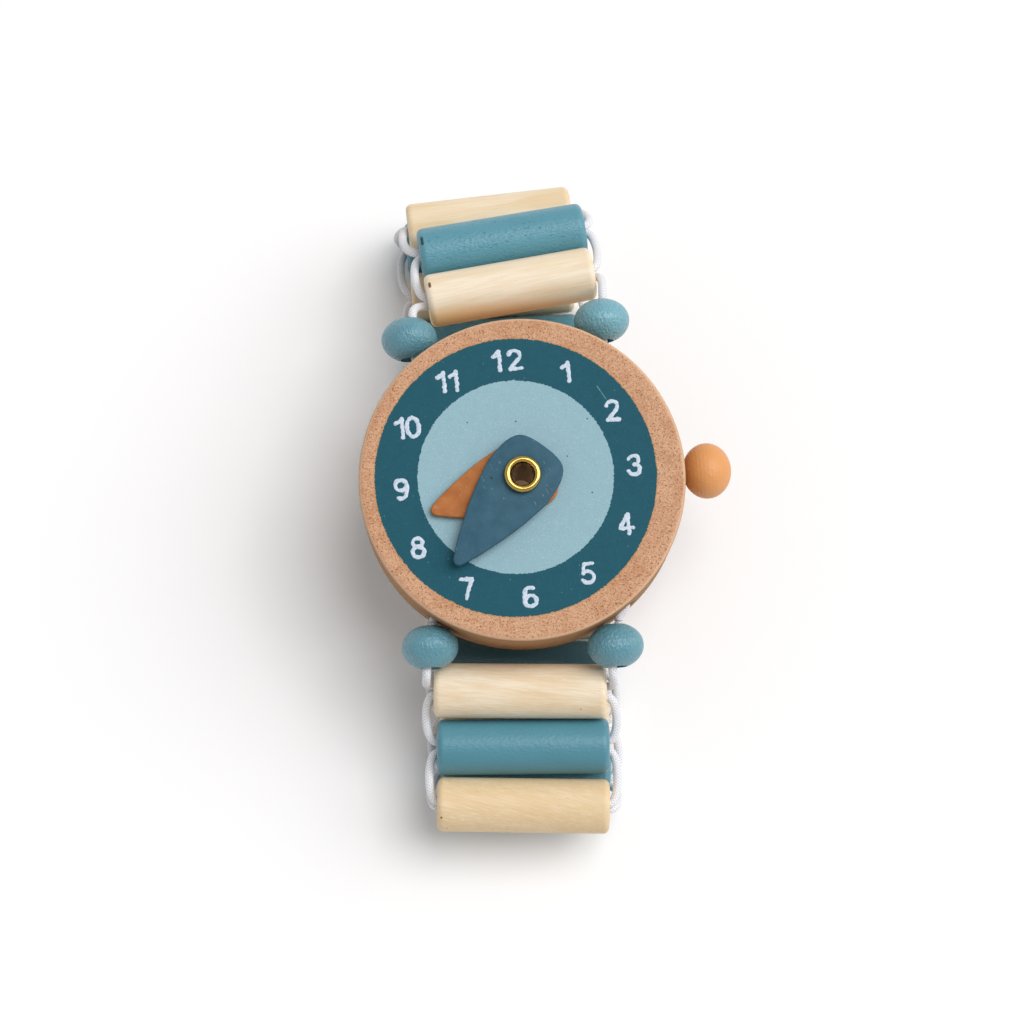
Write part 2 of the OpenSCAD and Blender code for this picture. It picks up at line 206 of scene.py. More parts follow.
class Shader:
    """A material with one Principled shader, whose nodes are added by one method."""

    def __init__(self, name, **sockets):
        self.material = bpy.data.materials.new(name)
        self.material.use_nodes = True
        self.tree = self.material.node_tree
        self.main = self.tree.nodes["Principled BSDF"]
        for key, value in sockets.items():
            self.main.inputs[key.replace("_", " ")].default_value = value

    def add(self, kind, settings=None, inputs=None, out=0):
        """Any node: its settings, its inputs, and the output that is returned."""
        node = self.tree.nodes.new(kind)
        for key, value in (settings or {}).items():
            setattr(node, key, value)
        for key, value in (inputs or {}).items():
            if isinstance(value, Value):
                self.tree.links.new(value.socket, node.inputs[key])
            else:
                node.inputs[key].default_value = value
        return Value(self, node.outputs[out])

    def set(self, socket, value):
        """Feeds a socket of the Principled shader."""
        if isinstance(value, Value):
            self.tree.links.new(value.socket, self.main.inputs[socket])
        else:
            self.main.inputs[socket].default_value = value

    def place(self, at=(0, 0, 0), turned=(0, 0, 0), scale=(1, 1, 1)):
        """Object coordinates, moved so that `at` is the origin, then turned about one axis,
        then scaled: v' = scale * (turn (v - at))."""
        here = self.add("ShaderNodeTexCoord", out="Object")
        here = self.add("ShaderNodeVectorMath", {"operation": "SUBTRACT"}, {0: here, 1: at})
        return self.add("ShaderNodeMapping", {"vector_type": "TEXTURE"},
                        {"Vector": here, "Rotation": [-q for q in turned],
                         "Scale": [1 / k for k in scale]})

    def noise(self, vector, scale, detail=3.0, rough=0.5):
        """Smooth noise from 0 to 1, with `scale` repeats per metre."""
        return self.add("ShaderNodeTexNoise", {"noise_dimensions": "3D"},
                        {"Vector": vector, "Scale": scale, "Detail": detail,
                         "Roughness": rough})

    def parts(self, vector):
        """The three coordinates of a vector, each as a value."""
        split = self.add("ShaderNodeSeparateXYZ", None, {0: vector})
        return [Value(self, split.socket.node.outputs[k]) for k in "XYZ"]

    def shifted(self, vector, by):
        return self.add("ShaderNodeVectorMath", {"operation": "ADD"}, {0: vector, 1: by})

    def cells(self, vector, scale):
        """Jittered flat cells: the distance to a cell's own point, and a random number."""
        cell = self.add("ShaderNodeTexVoronoi", {"voronoi_dimensions": "2D", "feature": "F1"},
                        {"Vector": vector, "Scale": scale, "Randomness": 1.0})
        return cell, self.parts(Value(self, cell.socket.node.outputs["Color"]))[0]

    def specks(self, vector, scale, size, rare):
        """Small round spots on a flat face: one at a cell's point, kept where the cell's
        random number is above `rare`."""
        cell, pick = self.cells(vector, scale)
        return (1 - cell.step(size, size * 0.4)) * pick.step(rare, 0.02)

    def spot(self, at, r):
        """1 near one place, 0 farther off than r."""
        x, y, z = self.parts(self.place(at=at))
        return 1 - (x * x + y * y + z * z).root().step(r, r * 0.3)

    def mix(self, share, a, b):
        """Colour a where share is 0, colour b where it is 1."""
        return self.add("ShaderNodeMix", {"data_type": "RGBA"}, {0: share, 6: a, 7: b}, out=2)

    def bump(self, height, distance, strength):
        """Normals tilted by a height pattern whose full height is `distance`."""
        return self.add("ShaderNodeBump", None,
                        {"Height": height, "Distance": distance, "Strength": strength})


def paint(code):
    """An sRGB colour code as the linear colour that a shader wants."""
    c = np.array([int(code[k:k + 2], 16) for k in (1, 3, 5)]) / 255
    linear = np.where(c <= 0.04045, c / 12.92, ((c + 0.055) / 1.055) ** 2.4)
    return (*[float(x) for x in linear], 1.0)


def cover(name, shader):
    """Gives a CAD node one material."""
    mesh = nodes[name].data
    mesh.materials.clear()
    mesh.materials.append(shader.material)


print("paint of mid grey", [round(x, 3) for x in paint("#808080")])

# %% [markdown]
# ## The case and its printed dial
# The case is a disc of pressed wood fibre: warm tan, with dark fibre specks and no long
# grain. The dial is printed on it in two flat inks, a dark ring and a pale middle, and the
# edges of the ink are slightly ragged. Printing is a change of colour and gloss on one flat
# face, so it belongs in the material and not in the mesh.

# %% Pressed wood with a printed dial
CASE_TILT = math.atan2(-case_up[1], case_up[2])
PRINT_AT = (-0.93 * MM, 0.21 * MM)
RING_R, INNER_R = 20.2 * MM, 14.05 * MM
OUTLINE_W, INK_SOFT = 0.14 * MM, 0.06 * MM
RAG_FINE, RAG_WIDE = 0.34 * MM, 0.2 * MM
SCRATCH_W = 0.05 * MM
# the two ends of each scratch on the dial, in mm from the middle of the case
SCRATCHES = [((11.76, 12.53), (12.9, 10.53)), ((-12.6, -4.2), (-11.8, -3.4))]


def near_line(x, y, a, b, width):
    """1 close to the straight line from a to b on the dial: the distance to a point is
    measured from its foot on the line, kept between the two ends."""
    (ax, ay), (bx, by) = a, b
    length = (bx - ax) ** 2 + (by - ay) ** 2
    foot = (((x - ax) * (bx - ax) + (y - ay) * (by - ay)) / length).limited()
    dx, dy = x - ax - foot * (bx - ax), y - ay - foot * (by - ay)
    return 1 - (dx * dx + dy * dy).root().step(width, width * 0.5)


def board_colour(s, here, z, specks, grit, fibres):
    """Chips and fibres on the front face, layers on the wall in tones made darker as painted
    shade, and a painted highlight on the rounded edge between.
    """
    clouds = s.noise(here, 420.0, 3.0)
    chip = s.cells(here, 250.0)[1]
    board = s.mix(clouds.step(0.5, 0.5), paint("#c18b67"), paint("#d7a885"))
    board = s.mix(chip.step(0.5, 0.7) * 0.42, board, paint("#dcb392"))
    board = s.mix(fibres.step(0.55, 0.16) * 0.5, board, paint("#e3bfa0"))
    board = s.mix(grit.step(0.42, 0.2) * 0.7 + 0.3, paint("#ad7756"), board)
    board = s.mix(specks.step(0.61, 0.07) * 0.8, board, paint("#815035"))
    layers = s.noise(s.place(turned=(-CASE_TILT, 0, 0), scale=(1, 1, 3.2)), 900.0, 3.0)
    # the wall's two tones are the board's side, made darker overall as painted shade for the
    # shaded wall at six o'clock
    wall = s.mix(layers.step(0.5, 0.5), paint("#9a7150"), paint("#b08863"))
    wall = s.mix(specks.step(0.66, 0.06) * 0.4, wall, paint("#8d6044"))
    # painted highlight: a paler band along the rounded edge just below the front face
    edge = z.step(CASE_T - 0.5 * MM, 0.3 * MM) * (1 - z.step(CASE_T - 0.1 * MM, 0.14 * MM))
    board = s.mix(z.step(CASE_T - 0.3 * MM, 0.3 * MM), wall, board)
    return s.mix(edge * 0.5, board, paint("#ecc8a6"))


def ink_colour(s, here, x, y, inner):
    """A dark ring and a pale middle, each with its own specks, and the fine scratches."""
    tone, fine = s.noise(here, 800.0, 4.0, 0.6), s.noise(here, 5200.0, 2.0)
    dark = s.mix(tone.limited(), paint("#1b505f"), paint("#235a6a"))
    dark = s.mix(fine.step(0.64, 0.1) * 0.3, dark, paint("#3c7886"))
    dark = s.mix(s.specks(here, 700.0, 0.055, 0.93) * 0.6, dark, paint("#6f9aa4"))
    pale = s.mix(tone.limited(), paint("#8eb1bd"), paint("#99bbc6"))
    pale = s.mix(s.specks(here, 300.0, 0.034, 0.8) * 0.9, pale, paint("#263d44"))
    pale = s.mix(fine.step(0.64, 0.08) * 0.4, pale, paint("#bdd8df"))
    pale = s.mix((1 - fine.step(0.37, 0.06)) * 0.3, pale, paint("#7fa6b3"))
    ink = s.mix(inner, dark, pale)
    for ends in SCRATCHES:
        a, b = [[v * MM for v in point] for point in ends]
        scratch = near_line(x, y, a, b, SCRATCH_W) * fine.step(0.4, 0.3)
        ink = s.mix(scratch * 0.7, ink, paint("#9fc0c6"))
    return ink


def case_shader():
    """The board, and on its front face the inks inside a circle with a ragged edge."""
    s = Shader("printed_fibreboard", Roughness=0.7, Specular_IOR_Level=0.12)
    here = s.place(turned=(-CASE_TILT, 0, 0))
    x, y, z = s.parts(here)
    specks = s.noise(here, 3900.0, 2.0, 0.65)
    grit = s.noise(here, 6500.0, 1.0)
    fibres = s.noise(s.place(turned=(0, 0, 0.4), scale=(1, 1.8, 1)), 2300.0, 3.0, 0.6)
    rag = ((s.noise(here, 3600.0, 1.0) - 0.5) * RAG_FINE
           + (s.noise(here, 900.0, 1.0) - 0.5) * RAG_WIDE)
    dx, dy = x - PRINT_AT[0], y - PRINT_AT[1]
    radius = (dx * dx + dy * dy).root() + rag
    top = z.step(CASE_T - 0.08 * MM, 0.05 * MM)
    ring = (1 - radius.step(RING_R, INK_SOFT)) * top
    outline = (1 - radius.step(RING_R + OUTLINE_W, 0.1 * MM)) * top
    inner = 1 - radius.step(INNER_R, INK_SOFT)
    board = board_colour(s, here, z, specks, grit, fibres)
    board = s.mix(outline * 0.6, board, paint("#b98d56"))
    s.set("Base Color", s.mix(ring, board, ink_colour(s, here, x, y, inner)))
    s.set("Roughness", 0.72 - ring * 0.14)
    relief = (specks * 0.6 + fibres * 0.5 + grit * 0.5) * (1 - ring * 0.78) + ring * 0.5
    s.set("Normal", s.bump(relief, 0.07 * MM, 0.9))
    return s


cover("case_disc", case_shader())
print("case dressed, print radii in mm", RING_R / MM, INNER_R / MM)

# %% [markdown]
# ## Wood of the beads
# The natural beads are turned from a pale wood whose grain runs along them: fine streaks of
# straw and cream, with a few faint brown pores. The painted ones carry a thin coat, through
# which the grain still shows as shallow grooves. Grain is noise that is squeezed across the
# bead and stretched along it, and one table holds the stretch and the noise of each layer.

# %% Natural and painted wood
# stretch along the grain, then scale, detail and roughness of the noise
GRAIN = {
    "hair": (26, 6200.0, 3.0, 0.6), "streak": (15, 2900.0, 4.0, 0.6),
    "broad": (6, 420.0, 3.0, 0.5), "pores": (5, 5600.0, 1.0, 0.5),
    "ridges": (7, 3600.0, 3.0, 0.6), "peel": (1.6, 2900.0, 2.0, 0.55),
    "cloud": (2, 330.0, 2.0, 0.5), "nicks": (4, 4800.0, 1.0, 0.5),
    "scuffs": (3, 3400.0, 1.0, 0.5),
}


def grain(s, way, shift, *layers):
    """Layers of the table, along one direction and moved so that no two pieces are alike."""
    angle = math.atan2(way[1], way[0])
    made = []
    for stretch, scale, detail, rough in (GRAIN[layer] for layer in layers):
        here = s.place(turned=(0, 0, -angle), scale=(1 / stretch, 1, 1))
        made.append(s.noise(s.shifted(here, shift), scale, detail, rough))
    return made


def natural_wood(name, way, seed, warmth=0.0, slant=0.0, figure=1.0):
    """Clear wood. `warmth` moves it from cream to tan, `slant` turns its grain, and
    `figure` is how strongly the grain shows."""
    s = Shader(name, Roughness=0.6, Specular_IOR_Level=0.3)
    shift = (seed * 0.37, seed * 0.11, 0)
    q = math.atan2(way[1], way[0]) + slant
    way = (math.cos(q), math.sin(q))
    hair, streak, broad, pores = grain(s, way, shift, "hair", "streak", "broad", "pores")
    clean, tan = paint("#f5e7d0"), paint("#e6caa0")
    colour = s.mix((broad.step(0.5, 0.3) * 0.6 + warmth).limited(), clean, tan)
    colour = s.mix(streak.step(0.53, 0.2) * (0.26 * figure), colour, paint("#dcbc8a"))
    colour = s.mix(hair.step(0.55, 0.1) * (0.24 * figure), colour, paint("#d6b789"))
    colour = s.mix((1 - hair.step(0.42, 0.1)) * (0.22 * figure), colour, paint("#faf2e4"))
    colour = s.mix(pores.step(0.76, 0.03) * 0.35, colour, paint("#a07a50"))
    return s, colour, hair, streak


def finish_wood(s, colour, hair, streak, spots=(), bounce_light_below=None):
    """Adds the small dark knots and sets the sockets. The last argument is a place below which
    the wood takes a warmer, more orange tone, which is painted warm light thrown up from the
    case."""
    if bounce_light_below is not None:
        # painted light: below this place the wood is tinted warm orange for the light that the
        # case throws up onto it
        x, y, z = s.parts(s.place(at=bounce_light_below))
        low = 1 - (y + z * 0.6 + streak * (1 * MM)).step(-1.6 * MM, 2.4 * MM)
        colour = s.mix(low * 0.75, colour, paint("#ffc983"))
    for at, r in spots:
        colour = s.mix(s.spot(at, r) * 0.85, colour, paint("#5e3a26"))
    s.set("Base Color", colour)
    s.set("Roughness", 0.56 + streak * 0.12)
    s.set("Normal", s.bump(hair * 0.5 + streak * 0.5, 0.04 * MM, 0.55))
    return s


def painted_wood(name, way, code, dark, seed, gloss=0.3, lumps=0.0, worn=0.0,
                 relief=0.09 * MM, spots=(), painted_shade_above=None):
    """Thin paint over wood, in two tones. `gloss` is its least roughness, `lumps` adds wide
    waves,
    `worn` the nicks, and the last argument is a place above which painted shade darkens the
    coat."""
    s = Shader(name, Roughness=gloss, Specular_IOR_Level=0.5 if gloss > 0.25 else 0.75)
    shift = (seed * 0.23, seed * 0.09, seed * 0.17)
    ridges, peel, cloud, nicks = grain(s, way, shift, "ridges", "peel", "cloud", "nicks")
    nicks = nicks.step(0.7, 0.03)
    colour = s.mix(cloud.limited() * 0.8, paint(code), paint(dark))
    colour = s.mix(nicks * worn, colour, paint("#27474f"))
    for at, r in spots:
        colour = s.mix(s.spot(at, r) * 0.85, colour, paint("#1d2c31"))
    if painted_shade_above is not None:
        # painted shade: the coat above this place is darkened where the case overhead shades it
        inner = s.parts(s.place(at=painted_shade_above))[2].step(1.2 * MM, 2.4 * MM)
        colour = s.mix(inner * 0.75, colour, paint("#1f3c45"))
    s.set("Base Color", colour)
    s.set("Roughness", gloss + ridges * 0.12)
    height = ridges * 0.3 + peel - nicks * worn * 0.8
    if lumps:
        height = height + s.noise(s.shifted(s.place(), shift), 260.0, 1.0) * lumps
    s.set("Normal", s.bump(height, relief, 0.8))
    return s


BEAD_R = 3.95 * MM


def on_bead(k, share, angle, r=BEAD_R):
    """A place on bead k: a share of its half length, and an angle up from the side that
    faces six o'clock."""
    up = np.array([0, 0, 1.0])
    side = np.cross(bead_way[k], up)
    q = math.radians(angle)
    out = side * math.cos(q) + up * math.sin(q)
    return bead_mid[k] + bead_way[k] * share * BEAD_LEN / 2 + out * r


# dark knots as place and radius, and the tone and slant of single beads, by bead
KNOTS = {0: [(on_bead(0, -0.95, q), 0.24 * MM) for q in (106, 110, 114)],
         1: [(on_bead(1, -0.955, q, 4.0 * MM), 0.25 * MM) for q in (98, 103, 108, 113)],
         14: [(on_bead(14, -0.948, 53), 0.18 * MM), (on_bead(14, -0.88, 22), 0.1 * MM)],
         16: [(on_bead(16, 0.7, 40), 0.1 * MM)]}
WARMTH = {0: -0.08, 2: 0.24, 14: 0.72, 16: 0.05}
SLANT = {0: 0.02, 14: -0.26, 16: -0.1}
USUAL_WARMTH, USUAL_SLANT = 0.2, 0.03
BOUNCE_LIT_BEAD, SMOOTH_BEAD, CASE_SHADED_BEAD = 0, 15, 11
# how strongly the grain shows on the three beads beside twelve o'clock, and elsewhere
FAINT_BEADS, FAINT_FIGURE, USUAL_FIGURE = 3, 0.55, 0.9
BEAD_TONES, SMOOTH_TONES = ("#5f9aab", "#528d9e"), ("#5690a1", "#4c8697")


def natural_bead(k, name):
    """The clear wood of bead k, with what is special about it."""
    figure = FAINT_FIGURE if k < FAINT_BEADS else USUAL_FIGURE
    wood = natural_wood(f"wood_{name}", bead_way[k], k + 1.0, WARMTH.get(k, USUAL_WARMTH),
                        SLANT.get(k, USUAL_SLANT), figure)
    # the first bead gets painted warm light from the case on its underside
    return finish_wood(*wood, spots=KNOTS.get(k, ()),
                       bounce_light_below=bead_mid[k] if k == BOUNCE_LIT_BEAD else None)


def painted_bead(k, name):
    """The blue paint of bead k, with what is special about it."""
    smooth = k == SMOOTH_BEAD
    tones = SMOOTH_TONES if smooth else BEAD_TONES
    # bead 11, under the case, gets painted shade on its upper side
    return painted_wood(f"paint_{name}", bead_way[k], *tones, k + 1.0,
                        worn=0.0 if smooth else 0.4, relief=(0.08 if smooth else 0.12) * MM,
                        spots=KNOTS.get(k, ()), painted_shade_above=bead_mid[k] if k == CASE_SHADED_BEAD else None)


for k, name in enumerate(BEADS):
    cover(name, (painted_bead if k % 2 else natural_bead)(k, name))
BALLS = ["ball_top_left", "ball_top_right", "ball_bottom_left", "ball_bottom_right"]
# the upper right ball gets a lighter copy of the same paint, a painted highlight for the glints
# it catches
BALL_TONES, LIT_BALL_TONES = ("#629aaa", "#558b9b"), ("#74adbb", "#669dad")
for k, name in enumerate(BALLS):
    tones = LIT_BALL_TONES if name == "ball_top_right" else BALL_TONES
    cover(name, painted_wood(f"paint_{name}", np.array([0, 1, 0]), *tones, k + 30.0,
                             lumps=3.0, worn=0.12, relief=0.3 * MM, gloss=0.22))
cover("crown_ball", painted_wood("paint_crown", np.array([1, 0, 0]), "#e6a264", "#d99354",
                                 50.0, 0.4, lumps=2.0, relief=0.1 * MM))
cover("crown_peg", finish_wood(*natural_wood("wood_peg", np.array([1, 0, 0]), 60.0)))
print("beads and balls dressed", len(BEADS) + len(BALLS))

# %% [markdown]
# ## Hands and eyelet
# The hands are thin painted wood with a matt face, small dents and faint scuffs. Their edges
# are rounded by the paint, so each CAD hand is stood for by a copy with rounded edges. The
# eyelet is pressed brass, bright on its rolled rim, with painted shade darkening it down in
# the bore.

# %% Hands and eyelet
HAND_WAY = (0.45, -0.9)
HAND_EDGE, HAND_FACETS = 0.22 * MM, 3
# points closer than this are one, edges flatter than the first angle go, and edges sharper
# than the second are rounded
MERGE, FLAT, SHARP = 0.0005 * MM, math.radians(1), math.radians(40)


def hand_shader(name, code, dark, dent, seed):
    """Matt paint in two tones, with faint scuffs in patches and small round dents."""
    s = Shader(name, Roughness=0.55, Specular_IOR_Level=0.2)
    at = s.place(at=(seed * 0.01, 0, 0))
    fine, wide = s.noise(at, 4200.0, 3.0, 0.6), s.noise(at, 500.0, 3.0)
    scuffs = grain(s, HAND_WAY, (0, 0, 0), "scuffs")[0].step(0.68, 0.03)
    patch = s.noise(at, 260.0, 1.0).step(0.5, 0.1)
    dents = s.specks(at, 330.0, 0.06, 0.84)
    colour = s.mix(wide.step(0.5, 0.4), paint(code), paint(dark))
    colour = s.mix(scuffs * patch * 0.15, colour, paint("#c9d2d4"))
    colour = s.mix(dents * 0.7, colour, paint(dent))
    s.set("Base Color", colour)
    s.set("Roughness", 0.5 + fine * 0.2)
    s.set("Normal", s.bump(fine * 0.6 + wide * 2 - dents - scuffs * 0.5, 0.06 * MM, 0.7))
    return s


def brass_shader():
    """Polished brass, with painted shade that darkens it towards the bottom of the bore."""
    s = Shader("brass", Metallic=1.0, Roughness=0.18)
    here = s.place(turned=(-CASE_TILT, 0, 0))
    z = s.parts(here)[2]
    bright = s.mix(s.noise(here, 900.0).limited(), paint("#e2c272"), paint("#d2a94f"))
    # painted shade: the brass turns dark brown from the rolled rim down into the bore
    clear_of_bore_shade = z.step(CASE_T + 1.0 * MM, 2.6 * MM)
    s.set("Base Color", s.mix(clear_of_bore_shade, paint("#3d2a0e"), bright))
    s.set("Roughness", 0.1 + s.noise(here, 2600.0) * 0.07)
    return s


cover("eyelet", brass_shader())


def rounded(node, name, shader):
    """Stands for a node with a merged copy whose sharp edges are rounded by three facets."""
    piece = bpy.data.objects.new(name, nodes[node].data.copy())
    piece.data.name = name
    bpy.context.scene.collection.objects.link(piece)
    shell = bmesh.new()
    shell.from_mesh(piece.data)
    bmesh.ops.remove_doubles(shell, verts=shell.verts, dist=MERGE)
    bmesh.ops.dissolve_limit(shell, angle_limit=FLAT, verts=shell.verts, edges=shell.edges)
    shell.to_mesh(piece.data)
    shell.free()
    piece.data.materials.clear()
    piece.data.materials.append(shader.material)
    bevel = piece.modifiers.new("round_edges", "BEVEL")
    bevel.width, bevel.segments = HAND_EDGE, HAND_FACETS
    bevel.limit_method, bevel.angle_limit = "ANGLE", SHARP
    for face in piece.data.polygons:
        face.use_smooth = True
    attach(piece, body_of[node])
    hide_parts(node)
    return piece


hour_paint = hand_shader("paint_hour", "#bd7742", "#a76433", "#8d5222", 1.0)
minute_paint = hand_shader("paint_minute", "#3a6376", "#32586b", "#2b3a42", 2.0)
hour = rounded("hour_hand", "hour_leaf", hour_paint)
minute = rounded("minute_hand", "minute_leaf", minute_paint)
print("hands rounded, faces", len(hour.data.polygons), len(minute.data.polygons))

# %% [markdown]
# ## Numbers on the dial
# The numbers are printed in thick white ink, in plain rounded figures. Each figure is a few
# strokes, and each stroke is a path of points. A low oval section is carried along the path
# and closes to nothing at both ends.

# %% Strokes of the figures


def arc(cx, cy, rx, ry, start, end, n=14):
    """Points on an oval: x = cx + rx cos a, y = cy + ry sin a."""
    a = np.radians(np.linspace(start, end, n))
    return np.stack([cx + rx * np.cos(a), cy + ry * np.sin(a)], -1)


def line(*corners):
    return np.array(corners, float)


FIGURES = {
    "0": [arc(0.3, 0.5, 0.25, 0.44, 90, 450, 29)],
    "1": [line((0.06, 0.72), (0.2, 0.8), (0.32, 0.93)), line((0.32, 0.93), (0.32, 0.06))],
    "2": [np.vstack([arc(0.3, 0.68, 0.24, 0.25, 165, -25, 14), line((0.3, 0.34), (0.08, 0.07))]),
          line((0.08, 0.07), (0.56, 0.07))],
    "3": [arc(0.29, 0.72, 0.21, 0.21, 160, -80), arc(0.28, 0.29, 0.25, 0.23, 85, -165)],
    "4": [line((0.42, 0.93), (0.05, 0.3), (0.6, 0.3)), line((0.42, 0.93), (0.42, 0.05))],
    "5": [line((0.52, 0.93), (0.17, 0.93), (0.11, 0.53)),
          arc(0.29, 0.32, 0.25, 0.26, 135, -150)],
    "6": [arc(0.3, 0.31, 0.24, 0.25, 0, 360, 23),
          np.vstack([arc(0.32, 0.6, 0.25, 0.33, 60, 160), line((0.06, 0.31))])],
    "7": [line((0.06, 0.93), (0.54, 0.93), (0.36, 0.55), (0.24, 0.06))],
    "8": [arc(0.3, 0.72, 0.2, 0.21, 0, 360, 21), arc(0.3, 0.29, 0.25, 0.24, 0, 360, 23)],
    "9": [arc(0.3, 0.69, 0.24, 0.25, 0, 360, 23),
          np.vstack([arc(0.28, 0.4, 0.25, 0.33, -120, -20), line((0.54, 0.69))])],
}
FIGURE_W, FIGURE_H = 3.45 * MM, 3.15 * MM
STROKE_W = 0.6 * MM
STROKE_STEP, STROKE_SIDES, LEAST_POINTS = 0.14 * MM, 12, 8
INK_H = 0.05 * MM
# how far a stroke's width wanders, its least size at a tip, and how square its section is
WANDER, TIP_SIZE, SQUARE = 0.26, 0.02, 0.7


def length_of(path):
    """Sum of the distances between neighbouring points."""
    return np.linalg.norm(np.diff(path, axis=0), axis=1).sum()


def resample(path, n):
    """n points spread evenly along a path, by its running length."""
    run = np.concatenate([[0], np.cumsum(np.linalg.norm(np.diff(path, axis=0), axis=1))])
    at = np.linspace(0, run[-1], n)
    return np.stack([np.interp(at, run, path[:, k]) for k in range(path.shape[1])], -1)


def grid_mesh(name, grid):
    """Closed object from a grid of points: rows along the piece, columns round it, and one
    face over each end."""
    rows, cols = grid.shape[:2]
    index = np.arange(rows * cols).reshape(rows, cols)
    a, b = index[:-1], index[1:]
    faces = np.stack([a, np.roll(a, -1, 1), np.roll(b, -1, 1), b], -1).reshape(-1, 4).tolist()
    faces += [index[0][::-1].tolist(), index[-1].tolist()]
    mesh = bpy.data.meshes.new(name)
    mesh.from_pydata(grid.reshape(-1, 3).tolist(), [], faces)
    mesh.polygons.foreach_set("use_smooth", np.ones(len(mesh.polygons), bool))
    mesh.update()
    piece = bpy.data.objects.new(name, mesh)
    bpy.context.scene.collection.objects.link(piece)
    return piece


def join(name, pieces):
    """One object from several, its faces turned outwards."""
    bpy.ops.object.select_all(action="DESELECT")
    for p in pieces:
        p.select_set(True)
    bpy.context.view_layer.objects.active = pieces[0]
    if len(pieces) > 1:
        bpy.ops.object.join()
    pieces[0].name = name
    pieces[0].data.name = name
    bpy.ops.object.mode_set(mode="EDIT")
    bpy.ops.mesh.select_all(action="SELECT")
    bpy.ops.mesh.normals_make_consistent(inside=False)
    bpy.ops.object.mode_set(mode="OBJECT")
    return pieces[0]


dice = np.random.default_rng(7)


def stroke(name, path, place):
    """A low oval section carried along a path on the dial, closing to nothing at its ends."""
    n = max(LEAST_POINTS, int(length_of(path) / STROKE_STEP))
    p = resample(path, n)
    way = np.gradient(p, axis=0)
    way /= np.linalg.norm(way, axis=1, keepdims=True)
    side = np.stack([-way[:, 1], way[:, 0]], -1)
    # the ends are round: rows at the cosine and sine of a quarter turn past the last points
    q = np.radians([90, 60, 30])
    head = p[0] - way[0] * (STROKE_W / 2 * np.sin(q))[:, None]
    tail = p[-1] + way[-1] * (STROKE_W / 2 * np.sin(q[::-1]))[:, None]
    p = np.vstack([head, p, tail])
    side = np.vstack([np.repeat(side[:1], len(q), 0), side, np.repeat(side[-1:], len(q), 0)])
    size = np.concatenate([np.cos(q) + TIP_SIZE, np.ones(n), np.cos(q[::-1]) + TIP_SIZE])
    a = np.linspace(0, 2 * np.pi, STROKE_SIDES, endpoint=False)
    across = np.sign(np.cos(a)) * np.abs(np.cos(a)) ** SQUARE * STROKE_W / 2
    # thick ink has ragged sides: each side of the stroke gets its own width, which wanders
    draws = dice.standard_normal((len(p) + 2, 2))
    run = draws[:-2] + draws[1:-1] + 0.6 * draws[2:]
    ragged = 1 + WANDER * run.clip(-2, 2) / 2
    width = size[:, None] * np.where(np.cos(a) > 0, ragged[:, :1], ragged[:, 1:])
    flat = p[:, None] + side[:, None] * (across * width)[..., None]
    high = np.sin(a) * INK_H * np.sqrt(size)[:, None]
    return grid_mesh(name, place(flat, high))


def on_dial(centre):
    """Turns flat points round a centre on the dial into points in the row frame."""
    def place(flat, high):
        x = flat[..., 0] + centre[0]
        y = flat[..., 1] + centre[1]
        z = CASE_T + high
        return (x[..., None] * np.array([1.0, 0, 0]) + y[..., None] * case_along
                + z[..., None] * case_up)
    return place


# where the middle of each number lies, in mm from the middle of the case
NUMBER_AT = {1: (7.34, 14.93), 2: (13.62, 8.81), 3: (16.1, 0.63), 4: (14.13, -7.8),
             5: (8.18, -14.44), 6: (-0.21, -17.21), 7: (-9.06, -15.34), 8: (-15.62, -8.92),
             9: (-17.4, -0.4), 10: (-15.89, 8.52), 11: (-9.75, 14.8), 12: (-0.91, 17.29)}
# room between two figures, as a share of a figure's width
GAPS = {10: 0.1, 11: 0.17, 12: 0.3}
WIDE, NARROW = 0.6, 0.36
# the print is turned a little on the case
DIAL_TURN = math.radians(1.0)


def ink_shader():
    """Off-white ink, worn through to the blue in small spots."""
    s = Shader("white_ink", Roughness=0.5)
    tone, worn = s.noise(s.place(), 2600.0, 2.0), s.noise(s.place(), 5200.0, 1.0)
    colour = s.mix(tone.step(0.5, 0.3), paint("#bccbdc"), paint("#d3deeb"))
    s.set("Base Color", s.mix(worn.step(0.66, 0.04) * 0.6, colour, paint("#4f7f8d")))
    s.set("Normal", s.bump(tone, 0.03 * MM, 0.5))
    return s


dial_turn = np.array([[math.cos(DIAL_TURN), math.sin(DIAL_TURN)],
                      [-math.sin(DIAL_TURN), math.cos(DIAL_TURN)]])
strokes = []
for number, (x, y) in NUMBER_AT.items():
    figures = str(number)
    widths = [NARROW if f == "1" else WIDE for f in figures]
    gap = GAPS.get(number, 0)
    left = -(sum(widths) + gap * (len(figures) - 1)) / 2
    for figure, width in zip(figures, widths):
        for k, path in enumerate(FIGURES[figure]):
            q = (path + [left, -0.5]) * [FIGURE_W, FIGURE_H] @ dial_turn
            strokes.append(stroke(f"ink_{number}_{figure}_{k}", q, on_dial((x * MM, y * MM))))
        left += width + gap
numbers = join("dial_numbers", strokes)
numbers.data.materials.clear()
numbers.data.materials.append(ink_shader().material)
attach(numbers, "case")
print("dial figures", len(numbers.data.polygons), "faces")

# %% [markdown]
# ## Braided elastic
# One white elastic runs through everything. In every bead two strands lie side by side and
# turn by a quarter turn each, and between two beads each strand bulges out as a side loop.
# The cord is braided, so its surface is a lattice of small ridges, which rise and fall with
# the two winding directions of the yarns.

# %% Route of the elastic
ELASTIC_R = 0.65 * MM
LACE_R = 0.8 * MM
BULGE = 1.2 * MM
BEND_REACH = 4 / 3
CHAMFER = 0.4 * MM
END_GAP = 0.05 * MM
# numbers of points in a bead, on a side loop, through a ball, round a bead's end and at a tip
IN_BEAD, ON_LOOP, IN_BALL, ROUND_END, AT_TIP = 9, 24, 8, 16, 7


